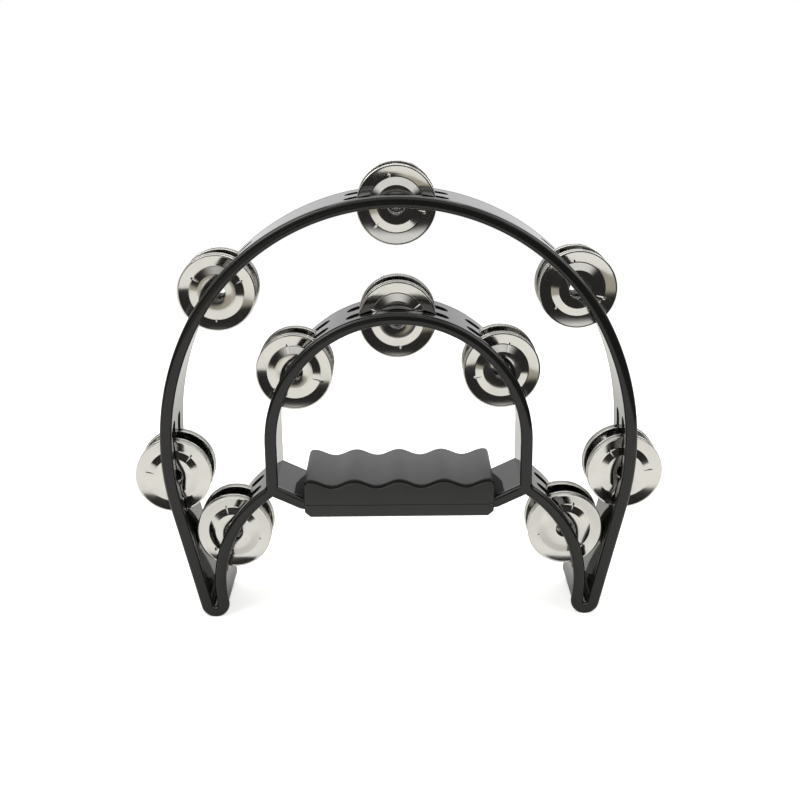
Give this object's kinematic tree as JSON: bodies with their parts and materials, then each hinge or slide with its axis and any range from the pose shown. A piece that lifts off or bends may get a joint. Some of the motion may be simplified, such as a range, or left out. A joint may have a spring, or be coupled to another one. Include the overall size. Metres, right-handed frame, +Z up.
{
  "type": "half-moon tambourine",
  "caption": "Headless half-moon tambourine: a moulded double-arch frame with a finger grip and slotted stations where pairs of loose metal jingles hang on pins and clash when shaken.",
  "frame": {"origin": "on the surface that the leg tips stand on, below the middle of the frame", "axes": "+X to the player's right along the handle bar, +Y away from the front face along the pins, +Z up from the leg tips to the crown"},
  "size_m": [0.2948, 0.0516, 0.2524],
  "materials": {
    "frame_plastic": "black injection-moulded plastic, satin to gloss",
    "grip_plastic": "dark grey moulded plastic with a fine satin texture",
    "pin_steel": "drawn steel wire",
    "jingle_nickel": "pressed sheet steel, bright nickel plated"
  },
  "bodies": {
    "frame_body": {"frame_outer": "frame_plastic", "frame_inner": "frame_plastic", "frame_bar": "frame_plastic", "grip_upper": "grip_plastic", "grip_lower": "grip_plastic", "pin_outer_top": "pin_steel", "pin_outer_left": "pin_steel", "pin_outer_right": "pin_steel", "pin_side_left": "pin_steel", "pin_side_right": "pin_steel", "pin_inner_top": "pin_steel", "pin_inner_left": "pin_steel", "pin_inner_right": "pin_steel", "pin_leg_left": "pin_steel", "pin_leg_right": "pin_steel"},
    "jingle_outer_top_front_1": {"jingle_outer_top_front_1": "jingle_nickel"},
    "jingle_outer_top_front_2": {"jingle_outer_top_front_2": "jingle_nickel"},
    "jingle_outer_top_rear_1": {"jingle_outer_top_rear_1": "jingle_nickel"},
    "jingle_outer_top_rear_2": {"jingle_outer_top_rear_2": "jingle_nickel"},
    "jingle_outer_left_front_1": {"jingle_outer_left_front_1": "jingle_nickel"},
    "jingle_outer_left_front_2": {"jingle_outer_left_front_2": "jingle_nickel"},
    "jingle_outer_left_rear_1": {"jingle_outer_left_rear_1": "jingle_nickel"},
    "jingle_outer_left_rear_2": {"jingle_outer_left_rear_2": "jingle_nickel"},
    "jingle_outer_right_front_1": {"jingle_outer_right_front_1": "jingle_nickel"},
    "jingle_outer_right_front_2": {"jingle_outer_right_front_2": "jingle_nickel"},
    "jingle_outer_right_rear_1": {"jingle_outer_right_rear_1": "jingle_nickel"},
    "jingle_outer_right_rear_2": {"jingle_outer_right_rear_2": "jingle_nickel"},
    "jingle_side_left_front_1": {"jingle_side_left_front_1": "jingle_nickel"},
    "jingle_side_left_front_2": {"jingle_side_left_front_2": "jingle_nickel"},
    "jingle_side_left_rear_1": {"jingle_side_left_rear_1": "jingle_nickel"},
    "jingle_side_left_rear_2": {"jingle_side_left_rear_2": "jingle_nickel"},
    "jingle_side_right_front_1": {"jingle_side_right_front_1": "jingle_nickel"},
    "jingle_side_right_front_2": {"jingle_side_right_front_2": "jingle_nickel"},
    "jingle_side_right_rear_1": {"jingle_side_right_rear_1": "jingle_nickel"},
    "jingle_side_right_rear_2": {"jingle_side_right_rear_2": "jingle_nickel"},
    "jingle_inner_top_front_1": {"jingle_inner_top_front_1": "jingle_nickel"},
    "jingle_inner_top_front_2": {"jingle_inner_top_front_2": "jingle_nickel"},
    "jingle_inner_top_rear_1": {"jingle_inner_top_rear_1": "jingle_nickel"},
    "jingle_inner_top_rear_2": {"jingle_inner_top_rear_2": "jingle_nickel"},
    "jingle_inner_left_front_1": {"jingle_inner_left_front_1": "jingle_nickel"},
    "jingle_inner_left_front_2": {"jingle_inner_left_front_2": "jingle_nickel"},
    "jingle_inner_left_rear_1": {"jingle_inner_left_rear_1": "jingle_nickel"},
    "jingle_inner_left_rear_2": {"jingle_inner_left_rear_2": "jingle_nickel"},
    "jingle_inner_right_front_1": {"jingle_inner_right_front_1": "jingle_nickel"},
    "jingle_inner_right_front_2": {"jingle_inner_right_front_2": "jingle_nickel"},
    "jingle_inner_right_rear_1": {"jingle_inner_right_rear_1": "jingle_nickel"},
    "jingle_inner_right_rear_2": {"jingle_inner_right_rear_2": "jingle_nickel"},
    "jingle_leg_left_front_1": {"jingle_leg_left_front_1": "jingle_nickel"},
    "jingle_leg_left_front_2": {"jingle_leg_left_front_2": "jingle_nickel"},
    "jingle_leg_left_rear_1": {"jingle_leg_left_rear_1": "jingle_nickel"},
    "jingle_leg_left_rear_2": {"jingle_leg_left_rear_2": "jingle_nickel"},
    "jingle_leg_right_front_1": {"jingle_leg_right_front_1": "jingle_nickel"},
    "jingle_leg_right_front_2": {"jingle_leg_right_front_2": "jingle_nickel"},
    "jingle_leg_right_rear_1": {"jingle_leg_right_rear_1": "jingle_nickel"},
    "jingle_leg_right_rear_2": {"jingle_leg_right_rear_2": "jingle_nickel"}
  },
  "joints": [
    {"name": "slide_outer_top_front_1", "type": "slide", "parent": "frame_body", "child": "jingle_outer_top_front_1", "axis": [0, 1, 0], "range_m": [-0.0007, 0.0007]},
    {"name": "slide_outer_top_front_2", "type": "slide", "parent": "frame_body", "child": "jingle_outer_top_front_2", "axis": [0, 1, 0], "range_m": [-0.0007, 0.0007]},
    {"name": "slide_outer_top_rear_1", "type": "slide", "parent": "frame_body", "child": "jingle_outer_top_rear_1", "axis": [0, 1, 0], "range_m": [-0.0007, 0.0007]},
    {"name": "slide_outer_top_rear_2", "type": "slide", "parent": "frame_body", "child": "jingle_outer_top_rear_2", "axis": [0, 1, 0], "range_m": [-0.0007, 0.0007]},
    {"name": "slide_outer_left_front_1", "type": "slide", "parent": "frame_body", "child": "jingle_outer_left_front_1", "axis": [0, 1, 0], "range_m": [-0.0007, 0.0007]},
    {"name": "slide_outer_left_front_2", "type": "slide", "parent": "frame_body", "child": "jingle_outer_left_front_2", "axis": [0, 1, 0], "range_m": [-0.0007, 0.0007]},
    {"name": "slide_outer_left_rear_1", "type": "slide", "parent": "frame_body", "child": "jingle_outer_left_rear_1", "axis": [0, 1, 0], "range_m": [-0.0007, 0.0007]},
    {"name": "slide_outer_left_rear_2", "type": "slide", "parent": "frame_body", "child": "jingle_outer_left_rear_2", "axis": [0, 1, 0], "range_m": [-0.0007, 0.0007]},
    {"name": "slide_outer_right_front_1", "type": "slide", "parent": "frame_body", "child": "jingle_outer_right_front_1", "axis": [0, 1, 0], "range_m": [-0.0007, 0.0007]},
    {"name": "slide_outer_right_front_2", "type": "slide", "parent": "frame_body", "child": "jingle_outer_right_front_2", "axis": [0, 1, 0], "range_m": [-0.0007, 0.0007]},
    {"name": "slide_outer_right_rear_1", "type": "slide", "parent": "frame_body", "child": "jingle_outer_right_rear_1", "axis": [0, 1, 0], "range_m": [-0.0007, 0.0007]},
    {"name": "slide_outer_right_rear_2", "type": "slide", "parent": "frame_body", "child": "jingle_outer_right_rear_2", "axis": [0, 1, 0], "range_m": [-0.0007, 0.0007]},
    {"name": "slide_side_left_front_1", "type": "slide", "parent": "frame_body", "child": "jingle_side_left_front_1", "axis": [0, 1, 0], "range_m": [-0.0007, 0.0007]},
    {"name": "slide_side_left_front_2", "type": "slide", "parent": "frame_body", "child": "jingle_side_left_front_2", "axis": [0, 1, 0], "range_m": [-0.0007, 0.0007]},
    {"name": "slide_side_left_rear_1", "type": "slide", "parent": "frame_body", "child": "jingle_side_left_rear_1", "axis": [0, 1, 0], "range_m": [-0.0007, 0.0007]},
    {"name": "slide_side_left_rear_2", "type": "slide", "parent": "frame_body", "child": "jingle_side_left_rear_2", "axis": [0, 1, 0], "range_m": [-0.0007, 0.0007]},
    {"name": "slide_side_right_front_1", "type": "slide", "parent": "frame_body", "child": "jingle_side_right_front_1", "axis": [0, 1, 0], "range_m": [-0.0007, 0.0007]},
    {"name": "slide_side_right_front_2", "type": "slide", "parent": "frame_body", "child": "jingle_side_right_front_2", "axis": [0, 1, 0], "range_m": [-0.0007, 0.0007]},
    {"name": "slide_side_right_rear_1", "type": "slide", "parent": "frame_body", "child": "jingle_side_right_rear_1", "axis": [0, 1, 0], "range_m": [-0.0007, 0.0007]},
    {"name": "slide_side_right_rear_2", "type": "slide", "parent": "frame_body", "child": "jingle_side_right_rear_2", "axis": [0, 1, 0], "range_m": [-0.0007, 0.0007]},
    {"name": "slide_inner_top_front_1", "type": "slide", "parent": "frame_body", "child": "jingle_inner_top_front_1", "axis": [0, 1, 0], "range_m": [-0.0007, 0.0007]},
    {"name": "slide_inner_top_front_2", "type": "slide", "parent": "frame_body", "child": "jingle_inner_top_front_2", "axis": [0, 1, 0], "range_m": [-0.0007, 0.0007]},
    {"name": "slide_inner_top_rear_1", "type": "slide", "parent": "frame_body", "child": "jingle_inner_top_rear_1", "axis": [0, 1, 0], "range_m": [-0.0007, 0.0007]},
    {"name": "slide_inner_top_rear_2", "type": "slide", "parent": "frame_body", "child": "jingle_inner_top_rear_2", "axis": [0, 1, 0], "range_m": [-0.0007, 0.0007]},
    {"name": "slide_inner_left_front_1", "type": "slide", "parent": "frame_body", "child": "jingle_inner_left_front_1", "axis": [0, 1, 0], "range_m": [-0.0007, 0.0007]},
    {"name": "slide_inner_left_front_2", "type": "slide", "parent": "frame_body", "child": "jingle_inner_left_front_2", "axis": [0, 1, 0], "range_m": [-0.0007, 0.0007]},
    {"name": "slide_inner_left_rear_1", "type": "slide", "parent": "frame_body", "child": "jingle_inner_left_rear_1", "axis": [0, 1, 0], "range_m": [-0.0007, 0.0007]},
    {"name": "slide_inner_left_rear_2", "type": "slide", "parent": "frame_body", "child": "jingle_inner_left_rear_2", "axis": [0, 1, 0], "range_m": [-0.0007, 0.0007]},
    {"name": "slide_inner_right_front_1", "type": "slide", "parent": "frame_body", "child": "jingle_inner_right_front_1", "axis": [0, 1, 0], "range_m": [-0.0007, 0.0007]},
    {"name": "slide_inner_right_front_2", "type": "slide", "parent": "frame_body", "child": "jingle_inner_right_front_2", "axis": [0, 1, 0], "range_m": [-0.0007, 0.0007]},
    {"name": "slide_inner_right_rear_1", "type": "slide", "parent": "frame_body", "child": "jingle_inner_right_rear_1", "axis": [0, 1, 0], "range_m": [-0.0007, 0.0007]},
    {"name": "slide_inner_right_rear_2", "type": "slide", "parent": "frame_body", "child": "jingle_inner_right_rear_2", "axis": [0, 1, 0], "range_m": [-0.0007, 0.0007]},
    {"name": "slide_leg_left_front_1", "type": "slide", "parent": "frame_body", "child": "jingle_leg_left_front_1", "axis": [0, 1, 0], "range_m": [-0.0007, 0.0007]},
    {"name": "slide_leg_left_front_2", "type": "slide", "parent": "frame_body", "child": "jingle_leg_left_front_2", "axis": [0, 1, 0], "range_m": [-0.0007, 0.0007]},
    {"name": "slide_leg_left_rear_1", "type": "slide", "parent": "frame_body", "child": "jingle_leg_left_rear_1", "axis": [0, 1, 0], "range_m": [-0.0007, 0.0007]},
    {"name": "slide_leg_left_rear_2", "type": "slide", "parent": "frame_body", "child": "jingle_leg_left_rear_2", "axis": [0, 1, 0], "range_m": [-0.0007, 0.0007]},
    {"name": "slide_leg_right_front_1", "type": "slide", "parent": "frame_body", "child": "jingle_leg_right_front_1", "axis": [0, 1, 0], "range_m": [-0.0007, 0.0007]},
    {"name": "slide_leg_right_front_2", "type": "slide", "parent": "frame_body", "child": "jingle_leg_right_front_2", "axis": [0, 1, 0], "range_m": [-0.0007, 0.0007]},
    {"name": "slide_leg_right_rear_1", "type": "slide", "parent": "frame_body", "child": "jingle_leg_right_rear_1", "axis": [0, 1, 0], "range_m": [-0.0007, 0.0007]},
    {"name": "slide_leg_right_rear_2", "type": "slide", "parent": "frame_body", "child": "jingle_leg_right_rear_2", "axis": [0, 1, 0], "range_m": [-0.0007, 0.0007]}
  ]
}
